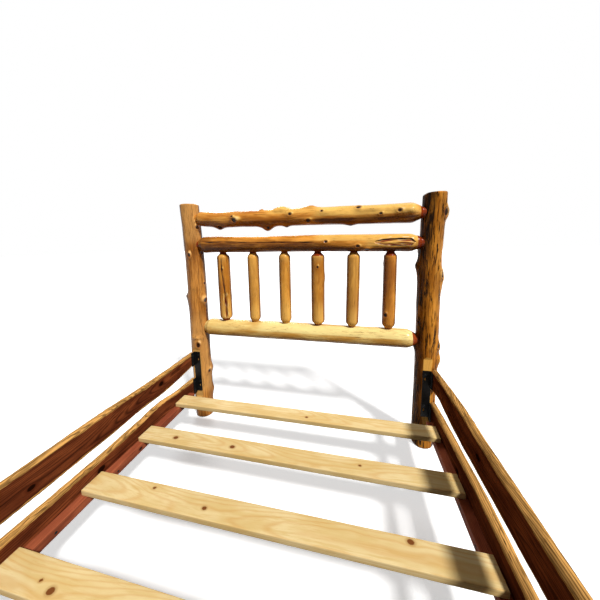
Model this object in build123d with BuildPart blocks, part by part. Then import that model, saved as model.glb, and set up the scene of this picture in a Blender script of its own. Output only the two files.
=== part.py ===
from build123d import *
import os

# Rustic log bed for a queen mattress. Peeled cedar logs are joined by round tenons in blind mortises. Two
# live-edge planks on each side hang from steel brackets on the posts, and loose slats lie on ledger strips.
# Millimetres. +X is to the right seen from the foot, +Y is towards the headboard, and the floor is at Z = 0.

os.makedirs("parts", exist_ok=True)

# ---------------------------------------------------------------- driving dimensions

# Overall sizes
inside_width = 1562  # between the inner faces of the side planks
bed_length = 2180  # between the axes of the head and foot posts
head_post_height = 1541
right_post_drop = 8  # the right head post is this much shorter

# Clearances
fit_gap = 0.3  # round a tenon or a screw, and between pieces that bear on each other
shoulder_gap = 0.8  # between a log's shoulder and the log that it enters

# Posts
post_radius = 63
plank_set_out = 16  # the planks' inner faces stand this far outside the post axes
post_top_chamfer = 5
flat_depth = 5  # the planed flat that a bracket is screwed to
flat_bottom = 170
head_left_flat_top = 522
head_right_flat_top = 579
foot_flat_top = 530

# Rails: heights of their axes, radii, and their round tenons
head_top_rail_drop = 109  # below the top of the head posts
middle_rail_drop = 166  # below the head top rail
bottom_rail_height = 680
foot_top_rail_rise = 52  # above the tops of the brackets
foot_post_rise = 103  # from the foot top rail to the tops of the foot posts
head_top_rail_lift = 10  # its left end is this much higher than its right end
head_top_rail_girths = (49, 50.5, 53, 55.5, 57)  # radii from left to right
middle_rail_radius = 51.5
bottom_rail_radius = 56
foot_top_rail_radius = 54
foot_bottom_rail_radius = 52
rail_shoulder_length = 52
rail_tenon_radius = 31.75
rail_tenon_length = 72
mortise_end_gap = 3  # left beyond the end of a tenon

# Spindles
spindle_radii = (42, 37, 37, 42, 39, 38)
spindle_end_distance = 223.5  # from a post axis to the first spindle
spindle_shoulder_length = 30
spindle_tenon_radius = 19
spindle_tenon_length = 42

# Side planks: their live edges, as arcs through three points at a time from the head end, each point a
# (share of the length, height)
plank_thickness = 35
left_upper_top = ((0, 505), (0.12, 503), (0.24, 508), (0.42, 514), (0.6, 507), (0.8, 502), (1, 508))
left_upper_bottom = (
    (0, 410), (0.05, 397), (0.105, 383), (0.15, 380), (0.22, 386),
    (0.4, 378), (0.58, 386), (0.79, 392), (1, 404),
)
right_upper_top = ((0, 522), (0.1, 533), (0.2, 540), (0.4, 535), (0.6, 540), (0.8, 531), (1, 518))
right_upper_bottom = (
    (0, 393), (0.035, 407), (0.07, 415), (0.13, 405), (0.22, 397),
    (0.43, 404), (0.64, 396), (0.82, 402), (1, 398),
)
left_lower_top = (
    (0, 312), (0.055, 316), (0.11, 328), (0.16, 341), (0.22, 332),
    (0.4, 322), (0.6, 331), (0.8, 328), (1, 316),
)
left_lower_bottom = ((0, 186), (0.25, 180), (0.5, 185), (0.75, 181), (1, 185))
right_lower_top = ((0, 318), (0.15, 331), (0.3, 337), (0.5, 328), (0.7, 337), (0.85, 331), (1, 317))
right_lower_bottom = ((0, 182), (0.25, 188), (0.5, 183), (0.75, 179), (1, 183))

# Ledgers and slats
ledger_width = 38
ledger_height = 38
ledger_set_back = 82  # from the ends of the plank, clear of the bracket tabs
slat_top = 272
slat_thickness = 25.4
slat_width = 89
slat_count = 7
first_slat_distance = 249  # from a post axis to the middle of the first slat
slat_end_gap = 11  # between the end of a slat and the plank
slat_edge_chamfer = 2.5

# Brackets: a strip on the post's flat, and two tabs bent onto the planks
bracket_thickness = 4.5
bracket_bend_radius = 6
strip_width = 46
strip_bottom = 218
strip_top = 510
tab_length = 32  # beyond the strip
upper_tab_bottom = 412
lower_tab_bottom = 205
lower_tab_top = 314
strip_hole_inset = 13  # from the strip's free edge
strip_screw_heights = (289, 485)
strip_slot_heights = (261, 457)
slot_width = 9
slot_height = 20
slot_corner = 2.8

# Screws
screw_sides = 6
screw_radius = 3.5
screw_head_radius = 7.5
screw_head_height = 3.5
post_screw_length = 50  # in the post
screw_point_gap = 1

# Trimmed branches
stub_root_radius = 46  # at the post's axis
stub_flats = 10
stub_taper = 14
post_stub_height = 903  # on the left head post
post_stub_reach = 84  # from the post's axis
foot_stub_height = 250

# ---------------------------------------------------------------- places worked out from them

post_x = inside_width / 2 - plank_set_out
post_y = bed_length / 2
plank_x = inside_width / 2
flat_y = post_y - post_radius + flat_depth
plank_half_length = flat_y - fit_gap
head_top_rail_height = head_post_height - head_top_rail_drop
middle_rail_height = head_top_rail_height - middle_rail_drop
foot_top_rail_height = strip_top + foot_top_rail_rise
foot_bottom_rail_height = sum(strip_screw_heights) / 2  # its tenons pass between the bracket screws
foot_post_height = foot_top_rail_height + foot_post_rise
rail_body_half_length = post_x - post_radius - shoulder_gap - rail_shoulder_length

spindle_count = len(spindle_radii)
spindle_pitch = 2 * (post_x - spindle_end_distance) / (spindle_count - 1)
spindle_places = [spindle_end_distance - post_x + i * spindle_pitch for i in range(spindle_count)]
spindle_root = bottom_rail_height + bottom_rail_radius + shoulder_gap
spindle_crown = middle_rail_height - middle_rail_radius - shoulder_gap

ledger_top = slat_top - slat_thickness - fit_gap
ledger_middle = ledger_top - ledger_height / 2
ledger_half_length = plank_half_length - ledger_set_back
slat_pitch = 2 * (post_y - first_slat_distance) / (slat_count - 1)

strip_face_y = flat_y - fit_gap - bracket_thickness
tab_face_x = plank_x - fit_gap - bracket_thickness
strip_edge_x = plank_x - fit_gap - strip_width

head_top_seat = Plane(
    (0, post_y, head_top_rail_height + head_top_rail_lift / 2),
    x_dir=(0, 1, 0), z_dir=(2 * post_x, 0, -head_top_rail_lift),
)
middle_seat = Plane((0, post_y, middle_rail_height), x_dir=(0, 1, 0), z_dir=(1, 0, 0))
bottom_seat = Plane((0, post_y, bottom_rail_height), x_dir=(0, 1, 0), z_dir=(1, 0, 0))
foot_top_seat = Plane((0, -post_y, foot_top_rail_height), x_dir=(0, 1, 0), z_dir=(1, 0, 0))
foot_bottom_seat = Plane((0, -post_y, foot_bottom_rail_height), x_dir=(0, 1, 0), z_dir=(1, 0, 0))


def post_screw_places(side, end):
    """Planes under the heads of the screws in one bracket's strip, facing out of the post."""
    x = side * (strip_edge_x + strip_hole_inset)
    return [Plane((x, end * strip_face_y, height), z_dir=(0, -end, 0)) for height in strip_screw_heights]


# ---------------------------------------------------------------- shapes that repeat


def save(piece, name):
    """Label a finished piece and write it."""
    piece.part.label = name
    export_step(piece.part, f"parts/{name}.step")


def tenoned_end(seat, start, body_radius, shoulder, tenon_radius, tenon_length):
    """Conical shoulder and round tenon from start, away from the seat's origin."""
    way = 1 if start > 0 else -1
    root = start + way * shoulder
    tip = root + way * tenon_length
    along = Plane(seat.origin, x_dir=seat.z_dir, z_dir=seat.z_dir.cross(seat.y_dir))
    with BuildSketch(along) as profile:
        with BuildLine():
            Polyline(
                (start, 0), (start, body_radius), (root, tenon_radius), (tip, tenon_radius), (tip, 0),
                close=True,
            )
        make_face()
    revolve(profile.sketch, axis=Axis(seat.origin, seat.z_dir))


def mortise(seat, start, depth, radius):
    """Round hole along the seat's normal from start; a negative depth runs the other way."""
    with BuildSketch(seat.offset(start)) as mouth:
        Circle(radius)
    extrude(mouth.sketch, amount=depth, mode=Mode.SUBTRACT)


def screw_holes(places, depth):
    """Holes for screws whose heads rest on the places."""
    for place in places:
        with BuildSketch(place) as mouth:
            RegularPolygon(screw_radius + fit_gap, screw_sides)
        extrude(mouth.sketch, amount=-depth, mode=Mode.SUBTRACT)


def branch_stub(seat, reach):
    """Trimmed branch that stands out of a log along the seat's normal."""
    with BuildSketch(seat) as root:
        RegularPolygon(stub_root_radius, stub_flats)
    extrude(root.sketch, amount=reach, taper=stub_taper)


# ---------------------------------------------------------------- posts

head_seats = (head_top_seat, middle_seat, bottom_seat)
foot_seats = (foot_top_seat, foot_bottom_seat)
for name, side, end, height, top_slope, flat_top, rail_seats in (
    ("head_left_post", -1, 1, head_post_height, 0.01, head_left_flat_top, head_seats),
    ("head_right_post", 1, 1, head_post_height - right_post_drop, -0.06, head_right_flat_top, head_seats),
    ("foot_left_post", -1, -1, foot_post_height, 0, foot_flat_top, foot_seats),
    ("foot_right_post", 1, -1, foot_post_height, 0, foot_flat_top, foot_seats),
):
    with BuildPart() as post:
        with BuildSketch(Plane.XY) as butt:
            with Locations((side * post_x, end * post_y)):
                Circle(post_radius)
        extrude(amount=height + post_radius)
        # the top is sawn a little out of square
        saw_cut = Plane((side * post_x, end * post_y, height), z_dir=(top_slope, 0, 1))
        split(bisect_by=saw_cut, keep=Keep.BOTTOM)
        chamfer(post.faces().sort_by(Axis.Z)[-1].edges(), post_top_chamfer)
        if name == "head_left_post":
            branch_stub(Plane((-post_x, post_y, post_stub_height), z_dir=(-1, 0, 0)), post_stub_reach)
        if name == "foot_right_post":
            branch_stub(Plane((post_x, -post_y, foot_stub_height), z_dir=(1, 0, 0)), post_stub_reach)

        with BuildSketch(Plane.XY.offset(flat_bottom)) as waste:
            with Locations((side * post_x, end * (flat_y - post_radius))):
                Rectangle(2 * post_radius, 2 * post_radius)
        extrude(waste.sketch, amount=flat_top - flat_bottom, mode=Mode.SUBTRACT)

        mortise_depth = rail_shoulder_length + rail_tenon_length + mortise_end_gap
        for seat in rail_seats:
            mortise(seat, side * rail_body_half_length, side * mortise_depth, rail_tenon_radius + fit_gap)
        screw_holes(post_screw_places(side, end), bracket_thickness + post_screw_length + screw_point_gap)
    save(post, name)

# ---------------------------------------------------------------- rails

# The knotty top rail swells towards its right end, and its axis drifts at five stations from left to right
head_top_rail_drift = ((0, 0), (3, -4), (0, 2), (-4, -3), (0, 0))

with BuildPart() as head_top_rail:
    station_gap = 2 * rail_body_half_length / (len(head_top_rail_girths) - 1)
    for i, (girth, drift) in enumerate(zip(head_top_rail_girths, head_top_rail_drift)):
        with BuildSketch(head_top_seat.offset(i * station_gap - rail_body_half_length)):
            with Locations(drift):
                Circle(girth)
    loft(ruled=True)
    for start, girth in (
        (-rail_body_half_length, head_top_rail_girths[0]),
        (rail_body_half_length, head_top_rail_girths[-1]),
    ):
        tenoned_end(head_top_seat, start, girth, rail_shoulder_length, rail_tenon_radius, rail_tenon_length)
save(head_top_rail, "head_top_rail")

# Straight rails: the middle one holds the spindles from above, the bottom one from below
for name, seat, radius, spindle_side in (
    ("head_middle_rail", middle_seat, middle_rail_radius, -1),
    ("head_bottom_rail", bottom_seat, bottom_rail_radius, 1),
    ("foot_top_rail", foot_top_seat, foot_top_rail_radius, 0),
    ("foot_bottom_rail", foot_bottom_seat, foot_bottom_rail_radius, 0),
):
    with BuildPart() as rail:
        with BuildSketch(seat) as middle_section:
            Circle(radius)
        extrude(amount=rail_body_half_length, both=True)
        for start in (-rail_body_half_length, rail_body_half_length):
            tenoned_end(seat, start, radius, rail_shoulder_length, rail_tenon_radius, rail_tenon_length)
        if spindle_side:
            socket_depth = shoulder_gap + spindle_tenon_length + mortise_end_gap
            for x in spindle_places:
                mouth = Plane((x, post_y, seat.origin.Z), z_dir=(0, 0, spindle_side))
                mortise(mouth, radius + shoulder_gap, -socket_depth, spindle_tenon_radius + fit_gap)
    save(rail, name)

# ---------------------------------------------------------------- spindles

spindle_middle = (spindle_root + spindle_crown) / 2
spindle_body_half_length = (spindle_crown - spindle_root) / 2 - spindle_shoulder_length

with BuildPart() as spindles:
    for x, radius in zip(spindle_places, spindle_radii):
        seat = Plane((x, post_y, spindle_middle))
        with BuildSketch(seat) as pole:
            Circle(radius)
        extrude(pole.sketch, amount=spindle_body_half_length, both=True)
        for start in (-spindle_body_half_length, spindle_body_half_length):
            tenoned_end(
                seat, start, radius, spindle_shoulder_length, spindle_tenon_radius, spindle_tenon_length
            )
save(spindles, "head_spindles")

# ---------------------------------------------------------------- side planks

for name, side, top_edge, bottom_edge in (
    ("left_upper_plank", -1, left_upper_top, left_upper_bottom),
    ("right_upper_plank", 1, right_upper_top, right_upper_bottom),
    ("left_lower_plank", -1, left_lower_top, left_lower_bottom),
    ("right_lower_plank", 1, right_lower_top, right_lower_bottom),
):
    with BuildPart() as plank:
        with BuildSketch(Plane.YZ.offset(side * plank_x)):
            with BuildLine():
                for edge in (top_edge, bottom_edge):
                    points = [(plank_half_length * (1 - 2 * share), z) for share, z in edge]
                    for arc_points in zip(points[0::2], points[1::2], points[2::2]):
                        ThreePointArc(*arc_points)
                for y, top_point, bottom_point in (
                    (plank_half_length, top_edge[0], bottom_edge[0]),
                    (-plank_half_length, top_edge[-1], bottom_edge[-1]),
                ):
                    Line((y, top_point[1]), (y, bottom_point[1]))
            make_face()
        extrude(amount=side * plank_thickness)
    save(plank, name)

# ---------------------------------------------------------------- ledgers and slats

for name, side in (("left_ledger", -1), ("right_ledger", 1)):
    with BuildPart() as ledger:
        with BuildSketch(Plane.YZ.offset(side * (plank_x - fit_gap))):
            with Locations((0, ledger_middle)):
                Rectangle(2 * ledger_half_length, ledger_height)
        extrude(amount=-side * ledger_width)
    save(ledger, name)

for number in range(1, slat_count + 1):
    y = post_y - first_slat_distance - (number - 1) * slat_pitch
    with BuildPart() as slat:
        section = Plane((0, y, slat_top - slat_thickness / 2), x_dir=(0, 1, 0), z_dir=(1, 0, 0))
        with BuildSketch(section) as board:
            Rectangle(slat_width, slat_thickness)
            chamfer(board.vertices(), slat_edge_chamfer)
        extrude(amount=plank_x - slat_end_gap, both=True)
    save(slat, f"slat_{number}")

# ---------------------------------------------------------------- brackets

for name, side, end in (
    ("head_left_bracket", -1, 1), ("head_right_bracket", 1, 1), ("foot_left_bracket", -1, -1),
    ("foot_right_bracket", 1, -1),
):
    bend = (side * (plank_x - fit_gap), end * (flat_y - fit_gap))
    corner = (side * tab_face_x, end * strip_face_y)
    with BuildPart() as bracket:
        with BuildSketch(Plane.XY.offset(lower_tab_bottom)) as angle:
            with BuildLine():
                Polyline(
                    bend, (bend[0], end * (strip_face_y - tab_length)),
                    (corner[0], end * (strip_face_y - tab_length)), corner,
                    (side * strip_edge_x, corner[1]), (side * strip_edge_x, bend[1]), close=True,
                )
            make_face()
            fillet(angle.vertices().sort_by_distance(bend)[0], bracket_bend_radius)
        extrude(amount=strip_top - lower_tab_bottom)
        # the strip is shorter than the lower tab, and there is no tab between the planks
        with BuildSketch(Plane.XY.offset(lower_tab_bottom)):
            with Locations((corner[0] - side * strip_width, end * flat_y)):
                Rectangle(2 * strip_width, 2 * (flat_y - strip_face_y))
        extrude(amount=strip_bottom - lower_tab_bottom, mode=Mode.SUBTRACT)
        with BuildSketch(Plane.XY.offset(lower_tab_top)):
            with Locations((bend[0], end * (strip_face_y - tab_length))):
                Rectangle(4 * bracket_bend_radius, 2 * tab_length)
        extrude(amount=upper_tab_bottom - lower_tab_top, mode=Mode.SUBTRACT)
        for height in strip_slot_heights:
            x = side * (strip_edge_x + strip_hole_inset)
            face = Plane((x, end * strip_face_y, height), x_dir=(0, 0, 1), z_dir=(0, end, 0))
            with BuildSketch(face) as slot:
                Rectangle(slot_height, slot_width)
                chamfer(slot.vertices(), slot_corner)
            extrude(slot.sketch, amount=bracket_thickness, mode=Mode.SUBTRACT)
        screw_holes(post_screw_places(side, end), bracket_thickness)
    save(bracket, name)

# ---------------------------------------------------------------- screws

with BuildPart() as post_screws:
    for place in [place for side in (-1, 1) for end in (1, -1) for place in post_screw_places(side, end)]:
        shank_length = bracket_thickness + post_screw_length
        with BuildSketch(place.offset(-shank_length)) as shank:
            RegularPolygon(screw_radius, screw_sides)
        extrude(shank.sketch, amount=shank_length)
        with BuildSketch(place) as head:
            RegularPolygon(screw_head_radius, screw_sides)
        extrude(head.sketch, amount=screw_head_height, taper=30)
save(post_screws, "post_screws")
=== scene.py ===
import itertools
import math

import bpy
import numpy as np
from mathutils import Matrix, Vector


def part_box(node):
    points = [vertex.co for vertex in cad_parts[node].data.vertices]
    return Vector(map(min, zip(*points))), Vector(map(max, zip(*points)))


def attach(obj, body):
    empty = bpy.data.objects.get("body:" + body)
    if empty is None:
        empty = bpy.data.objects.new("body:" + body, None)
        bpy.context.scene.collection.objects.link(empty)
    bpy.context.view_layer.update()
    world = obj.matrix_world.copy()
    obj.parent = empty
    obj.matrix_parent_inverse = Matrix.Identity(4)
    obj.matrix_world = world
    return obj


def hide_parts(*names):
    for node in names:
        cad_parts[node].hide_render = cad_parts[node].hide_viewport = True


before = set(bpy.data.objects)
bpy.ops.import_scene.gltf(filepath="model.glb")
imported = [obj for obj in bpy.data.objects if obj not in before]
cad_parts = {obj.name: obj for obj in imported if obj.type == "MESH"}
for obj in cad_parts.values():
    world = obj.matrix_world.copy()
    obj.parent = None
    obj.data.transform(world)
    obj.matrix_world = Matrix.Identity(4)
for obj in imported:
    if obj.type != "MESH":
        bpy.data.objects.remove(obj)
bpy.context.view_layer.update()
ROOT = "frame"
UP = (0, 0, 1)
OUT = (1, 0, 0)
POST_X = 0.765  # axes of the posts
POST_Y = 1.09
POST_BACK = 0.0628  # how far the back of a post may stand from its axis
FLAT = 0.058  # from the axis of a post to the flat that its bracket is screwed to
FLAT_BOTTOM = 0.17
TENON = 0.03175  # radius of the rails' tenons
LENGTH_IN_POST = 0.072
SHOULDER = 0.052
TURNED = 0.075  # length of a rail's smooth turned end
FORWARD = 0.01  # how far in front of the axes of the posts the upper head rails are drawn
SPINDLE_TENON = 0.019
SPINDLE_CONE = 0.0275  # radius halfway down the cone of a spindle's shoulder
STRIP_HOLE_X = 0.7477  # bracket strips: their screws, and their faces
STRIP_FACE_Y = 1.0272
TAB_X = 0.7762  # bracket tabs: their faces, and their middles
TAB_Y = STRIP_FACE_Y - 0.019
SCREW_FACETS = 48
CAMERA = (0.316, -0.446, 1.2727)

# -------- camera, floor, light


def add_object(name, data):
    made = bpy.data.objects.new(name, data)
    bpy.context.scene.collection.objects.link(made)
    return made


def make_camera():
    yaw, pitch, roll = (math.radians(a) for a in (11.91, 7.38, -1.0))
    forward = Vector((-math.sin(yaw) * math.cos(pitch), math.cos(yaw) * math.cos(pitch), -math.sin(pitch)))
    level = Vector((math.cos(yaw), math.sin(yaw), 0))
    upward = level.cross(forward)
    right = math.cos(roll) * level + math.sin(roll) * upward
    above = math.cos(roll) * upward - math.sin(roll) * level
    camera = add_object("camera", bpy.data.cameras.new("camera"))
    bpy.context.scene.camera = camera
    rows = [(right[i], above[i], -forward[i], CAMERA[i]) for i in range(3)]
    camera.matrix_world = Matrix([*rows, (0, 0, 0, 1)])
    camera.data.lens = 14.7
    camera.data.sensor_width = 36
    camera.data.shift_y = -26 / 600
    camera.data.clip_start = 0.02


def colour(code):
    """Linear colour of a #rrggbb code."""
    parts = [int(code[i : i + 2], 16) / 255 for i in (1, 3, 5)]
    return (*[p / 12.92 if p <= 0.04045 else ((p + 0.055) / 1.055) ** 2.4 for p in parts], 1)


class Shader:
    """A node tree, with short ways to add to it."""

    def __init__(self, tree):
        self.tree = tree
        tree.nodes.clear()

    def add(self, kind, inputs=None, **settings):
        node = self.tree.nodes.new("ShaderNode" + kind)
        for key, value in settings.items():
            setattr(node, key, value)
        for key, value in (inputs or {}).items():
            self.put(node.inputs[key], value)
        return node

    def put(self, socket, value):
        if isinstance(value, bpy.types.NodeSocket):
            self.tree.links.new(value, socket)
        else:
            socket.default_value = value

    def maths(self, operation, a, b=0.0, clamp=False):
        return self.add("Math", {0: a, 1: b}, operation=operation, use_clamp=clamp).outputs[0]

    def times(self, a, b):
        return self.maths("MULTIPLY", a, b)

    def plus(self, a, b):
        return self.maths("ADD", a, b)

    def ragged(self, value, noise, size):
        """The value, with the edges that it draws broken up by a noise."""
        return self.plus(value, self.times(self.maths("SUBTRACT", noise, 0.5), size))

    def step(self, value, low, high):
        """0 at low, 1 at high, smooth between them; low may be the larger."""
        ends = (high, low, 1, 0) if low > high else (low, high, 0, 1)
        span = dict(zip(("From Min", "From Max", "To Min", "To Max"), ends))
        return self.add("MapRange", {"Value": value, **span}, interpolation_type="SMOOTHSTEP").outputs[0]

    def blend(self, share, a, b):
        node = self.add("Mix", data_type="RGBA")
        for index, value in ((0, share), (6, a), (7, b)):
            self.put(node.inputs[index], value)
        return node.outputs[2]

    def cover(self, base, mask, strength, tone):
        """The tone laid over base where mask is 1, at a strength."""
        return self.blend(self.times(mask, strength), base, tone)

    def noise(self, vector, scale, detail=3.0, rough=0.55, along=1):
        """Noise of a scale, and of a share of it along the first axis."""
        spread = self.add("Mapping", {"Vector": vector, "Scale": (scale * along, scale, scale)}).outputs[0]
        return self.add("TexNoise", {0: spread, "Scale": 1.0, "Detail": detail, "Roughness": rough}).outputs[0]

    def attribute(self, name):
        return self.add("Attribute", attribute_name=name).outputs["Vector"]

    def finish(self, kind, surface):
        self.put(self.add(kind).inputs[0], surface.outputs[0])


def new_material(name):
    """An empty material, and the shader in it."""
    material = bpy.data.materials.new(name)
    material.use_nodes = True
    return material, Shader(material.node_tree)


def seen_rays(shader):
    """1 where the camera sees the surface, directly, mirrored or through glass."""
    path = shader.add("LightPath")
    seen = shader.maths("MAXIMUM", path.outputs["Is Camera Ray"], path.outputs["Is Glossy Ray"])
    return shader.maths("MAXIMUM", seen, path.outputs["Is Transmission Ray"])


def sun(name, turn, rise, power, soft, tone):
    """Sunlight from a direction: degrees to the right of the foot of the bed, and above the floor."""
    turn, rise = math.radians(turn), math.radians(rise)
    toward = Vector((math.sin(turn) * math.cos(rise), -math.cos(turn) * math.cos(rise), math.sin(rise)))
    lamp = add_object(name, bpy.data.lights.new(name, "SUN"))
    lamp.data.energy, lamp.data.angle, lamp.data.color = power, math.radians(soft), tone
    lamp.rotation_euler = toward.to_track_quat("Z", "Y").to_euler()


def make_stage():
    mesh = bpy.data.meshes.new("floor")
    mesh.from_pydata([(-40, -40, 0), (40, -40, 0), (40, 40, 0), (-40, 40, 0)], [], [(0, 1, 2, 3)])
    add_object("floor", mesh)
    material, shader = new_material("floor")
    plain = shader.add("BsdfDiffuse", {"Color": (0.09, 0.085, 0.08, 1)})
    white = shader.add("BsdfDiffuse", {"Color": (0.9, 0.9, 0.9, 1)})
    haze = shader.add("Emission", {"Color": (1, 1, 1, 1), "Strength": 0.42})
    bright = shader.add("AddShader", {0: white.outputs[0], 1: haze.outputs[0]})
    mix = shader.add("MixShader", {0: seen_rays(shader), 1: plain.outputs[0], 2: bright.outputs[0]})
    shader.finish("OutputMaterial", mix)
    mesh.materials.append(material)

    world = bpy.data.worlds.new("sky")
    bpy.context.scene.world = world
    world.use_nodes = True
    shader = Shader(world.node_tree)
    light = shader.add("Background", {0: (0.97, 0.98, 1, 1), 1: 0.13})
    plain = shader.add("Background", {0: (1, 1, 1, 1), 1: 1.0})
    mix = shader.add("MixShader", {0: seen_rays(shader), 1: light.outputs[0], 2: plain.outputs[0]})
    shader.finish("OutputWorld", mix)

    sun("key", 48, 50, 4.8, 8, (1, 0.99, 0.97))
    sun("back", 205, 30, 1.2, 25, (1, 1, 1))


bpy.context.scene.view_settings.view_transform = "Standard"
make_camera()
make_stage()

# -------- noise and curves for shapes


class Field:
    """Smooth seeded noise over space, about -1 to 1."""

    def __init__(self, seed):
        maker = np.random.default_rng(seed)
        self.order = maker.permutation(256)
        slopes = maker.normal(size=(256, 3))
        self.slopes = slopes / np.linalg.norm(slopes, axis=1)[:, None]

    def at(self, x, y, z):
        points = np.stack(np.broadcast_arrays(x, y, z), -1).astype(float)
        base = np.floor(points).astype(int)
        rest = points - base
        fade = rest**3 * (rest * (rest * 6 - 15) + 10)
        total = 0
        for corner in itertools.product((0, 1), repeat=3):
            index = self.order[(base[..., 0] + corner[0]) & 255]
            index = self.order[(index + base[..., 1] + corner[1]) & 255]
            index = self.order[(index + base[..., 2] + corner[2]) & 255]
            weight = np.prod(np.where(corner, fade, 1 - fade), axis=-1)
            total = total + weight * (self.slopes[index] * (rest - corner)).sum(-1)
        return total * 1.6


def ease(value, low, high):
    share = np.clip((value - low) / (high - low), 0, 1)
    return share * share * (3 - 2 * share)


def bell(value):
    return np.exp(-(value**2))


def smooth_curve(places, knots, reach):
    """Value at each place of the line through knots (place, value), with its corners rounded over reach."""
    at, values = np.array(knots, float).T
    spots = np.linspace(-1.5, 1.5, 13)
    weights = np.exp(-spots * spots)
    return sum(w * np.interp(places + s * reach, at, values) for s, w in zip(spots, weights)) / weights.sum()


# -------- wood


def dark(code, share):
    """The colour, darkened."""
    return (*[c * share for c in colour(code)[:3]], 1)


def wood(name, light, deep, streak, heart="#8c3510", ring_gap=0.0035, rings=0.06, dashes=0.5, bark=0.0,
         gloss=0.22, coat=0.15, shine=0.05, relief=0.45, knot="#1c0a04", bare="#cf9f58", sap=None, pale=None):
    """Wood along the grain attribute: x runs with the fibres, y and z cross them from the pith. The marks
    attribute holds the distance to a knot, the depth of a crack and the share of heartwood. The cuts attribute
    holds planed, sawn, and on boards sapwood, or on logs a tone: over 0 darker, with stains and painted shade,
    and under 0 paler, with pale wood and painted highlights."""
    material, s = new_material(name)
    grain = s.attribute("grain")
    knot_way, split, inner = s.add("SeparateXYZ", {0: s.attribute("marks")}).outputs
    planed, sawn, tone = s.add("SeparateXYZ", {0: s.attribute("cuts")}).outputs

    wander = s.noise(grain, 9, 2, along=0.35)
    shift = s.add("CombineXYZ", {0: 0.0, 1: wander, 2: wander}).outputs[0]
    wave = s.add("VectorMath", {0: shift, 3: 0.012}, operation="SCALE").outputs[0]
    fibres = s.add("VectorMath", {0: grain, 1: wave}, operation="ADD").outputs[0]

    broad = s.noise(fibres, 14, 3, along=0.3)
    middle = s.noise(fibres, 80, 4, 0.65, along=0.07)
    thin = s.noise(fibres, 330, 3, 0.65, along=0.04)
    patch = s.noise(fibres, 30, 3, 0.6, along=0.3)
    cross = s.add("SeparateXYZ", {0: fibres}).outputs
    radius = s.maths("SQRT", s.plus(s.maths("POWER", cross[1], 2.0), s.maths("POWER", cross[2], 2.0)))
    turns = s.plus(s.times(radius, 2 * math.pi / ring_gap), s.times(broad, 9.0))
    wavy = s.plus(s.times(s.maths("SINE", turns), 0.5), 0.5)
    ring = s.times(s.maths("POWER", wavy, 3.0), s.plus(s.times(sawn, 0.5), rings))

    base = s.blend(s.step(broad, 0.36, 0.64), colour(light), colour(deep))
    base = s.cover(base, s.step(middle, 0.5, 0.64), 0.85, colour(deep))
    base = s.cover(base, s.step(middle, 0.46, 0.28), 0.55, colour(light))
    if sap:
        sap_tone = s.blend(s.step(middle, 0.42, 0.6), colour(sap), dark(sap, 0.5))
        edge = s.ragged(tone, patch, 0.4)
        base = s.blend(s.step(edge, 0.42, 0.58), base, sap_tone)
    else:
        # Tone over 0 darkens the wood, for stains and painted shade; under 0 it is paler, for pale wood and
        # painted highlights.
        mottle = s.plus(s.times(patch, 0.7), s.times(middle, 0.5))
        base = s.cover(base, s.step(mottle, 0.45, 0.68), tone, dark(streak, 0.55))
        base = s.cover(base, s.step(tone, 0.0, 1.0), 0.6, colour(streak))
        base = s.cover(base, s.step(tone, 0.0, -1.0), 0.8, colour(pale or light))
        # Painted highlight: cream glints where the tone is below -1.05.
        base = s.cover(base, s.step(tone, -1.05, -1.6), 0.65, colour("#fff0cc"))
    base = s.blend(ring, base, colour(streak))
    fine = s.times(s.step(thin, 0.54, 0.68), s.step(patch, 0.42, 0.6))
    base = s.cover(base, fine, dashes, colour(streak))
    if bark:
        strokes = s.noise(fibres, 105, 4, 0.65, along=0.075)
        strokes = s.plus(strokes, s.times(tone, 0.07))
        left = s.times(s.step(strokes, 0.525, 0.575), s.step(patch, 0.34, 0.46))
        base = s.cover(base, left, bark, dark(streak, 0.28))

    red = s.blend(s.step(thin, 0.4, 0.7), colour(heart), dark(heart, 0.5))
    reach = s.ragged(inner, middle, 0.3)
    base = s.blend(s.step(reach, 0.35, 0.6), base, red)
    base = s.cover(base, planed, 0.85, colour(bare))
    base = s.cover(base, s.step(thin, 0.5, 0.7), s.times(planed, 0.4), colour(deep))

    # knots: a black pit in a red-brown ring
    way = s.ragged(knot_way, middle, 0.5)
    base = s.cover(base, s.step(way, 1.75, 1.0), 0.5, dark(heart, 0.7))
    base = s.cover(base, s.step(way, 1.05, 0.75), 0.97, colour(knot))

    # cracks and the stain beside them
    gap = s.ragged(split, thin, 0.5)
    base = s.cover(base, s.step(gap, 0.1, 0.6), 0.6, dark(heart, 0.35))
    base = s.cover(base, s.step(gap, 0.5, 0.78), 0.95, colour("#120503"))

    height = s.plus(s.times(thin, 0.5), s.times(middle, 0.9))
    height = s.maths("SUBTRACT", height, s.times(s.step(gap, 0.55, 0.85), 1.4))
    bump = s.add("Bump", {"Strength": relief, "Distance": 0.0013, "Height": height})
    rough = s.plus(s.times(middle, 0.25), s.times(planed, 0.25))
    rough = s.plus(rough, s.times(sawn, 0.2))
    rough = s.maths("ADD", rough, gloss - 0.1, clamp=True)
    body = s.add("BsdfPrincipled", {
        "Base Color": base, "Roughness": rough, "Coat Weight": coat, "Coat Roughness": 0.22,
        "Specular IOR Level": shine, "Normal": bump.outputs[0],
    })
    s.finish("OutputMaterial", body)
    return material


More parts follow.
